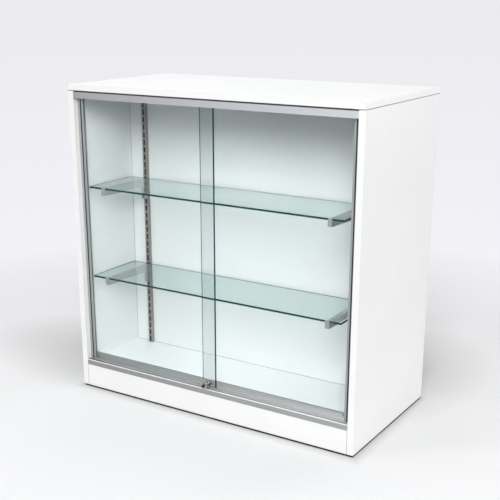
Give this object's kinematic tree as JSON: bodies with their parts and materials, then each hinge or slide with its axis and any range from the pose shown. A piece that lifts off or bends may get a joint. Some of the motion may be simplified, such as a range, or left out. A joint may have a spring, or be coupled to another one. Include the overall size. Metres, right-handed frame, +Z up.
{
  "type": "glass display counter",
  "caption": "White laminated display counter on a plinth with sliding glass doors in aluminium tracks, a keyed lock and adjustable glass shelves on slotted standards",
  "frame": {"origin": "bottom centre of the bounding box, on the floor under the middle of the counter", "axes": "+X to the customer's right, +Y from the sliding doors towards the back, +Z up"},
  "size_m": [0.9, 0.457, 0.89],
  "materials": {
    "white_laminate": "satin white laminate on chipboard",
    "beech": "bare turned beech",
    "zinc_fitting": "die-cast zinc",
    "screw_steel": "bright zinc plating",
    "track_aluminium": "satin anodised",
    "jamb_aluminium": "satin anodised",
    "black_strip": "black PVC",
    "rubber": "soft black rubber",
    "standard_steel": "satin zinc-plated strip",
    "bracket_steel": "satin zinc-plated",
    "clear_pad": "clear soft plastic",
    "shelf_glass": "clear float glass with a green edge",
    "door_glass": "clear float glass with a green edge",
    "nylon": "dark grey nylon",
    "foot_nylon": "black nylon",
    "lock_chrome": "polished plating",
    "lock_brass": "worn plated brass"
  },
  "bodies": {
    "cabinet": {"top_panel": "white_laminate", "left_side_panel": "white_laminate", "right_side_panel": "white_laminate", "deck_panel": "white_laminate", "back_panel": "white_laminate", "front_kick_plate": "white_laminate", "rear_kick_plate": "white_laminate", "floor_glides": "foot_nylon", "carcass_dowels": "beech", "cam_discs": "zinc_fitting", "cam_bolts": "screw_steel", "top_track": "track_aluminium", "bottom_track": "track_aluminium", "left_jamb": "jamb_aluminium", "right_jamb": "jamb_aluminium", "left_jamb_insert": "black_strip", "right_jamb_insert": "black_strip", "track_screws": "screw_steel", "jamb_screws": "screw_steel", "door_bumpers": "rubber", "left_standard": "standard_steel", "right_standard": "standard_steel", "standard_screws": "screw_steel", "upper_left_bracket": "bracket_steel", "upper_right_bracket": "bracket_steel", "lower_left_bracket": "bracket_steel", "lower_right_bracket": "bracket_steel", "upper_shelf_pads": "clear_pad", "lower_shelf_pads": "clear_pad", "upper_glass_shelf": "shelf_glass", "lower_glass_shelf": "shelf_glass"},
    "left_door": {"left_door_glass": "door_glass", "left_door_glides": "nylon", "left_door_guides": "nylon", "lock_barrel": "lock_chrome", "lock_washers": "rubber", "lock_nut": "screw_steel"},
    "right_door": {"right_door_glass": "door_glass", "right_door_glides": "nylon", "right_door_guides": "nylon"},
    "lock_plunger": {"lock_bolt": "screw_steel"},
    "lock_plug": {"lock_plug": "lock_brass"}
  },
  "joints": [
    {"name": "left_door_slide", "type": "slide", "parent": "cabinet", "child": "left_door", "axis": [1, 0, 0], "range_m": [0, 0.4134]},
    {"name": "right_door_slide", "type": "slide", "parent": "cabinet", "child": "right_door", "axis": [1, 0, 0], "range_m": [-0.3966, 0]},
    {"name": "lock_push", "type": "slide", "parent": "left_door", "child": "lock_plunger", "axis": [0, 1, 0], "range_m": [0, 0.0032]},
    {"name": "lock_plug_turn", "type": "hinge", "parent": "lock_plunger", "child": "lock_plug", "pos_m": [-0.0079, -0.2215, 0.0965], "axis": [0, 1, 0], "range_deg": [-90, 0]}
  ]
}
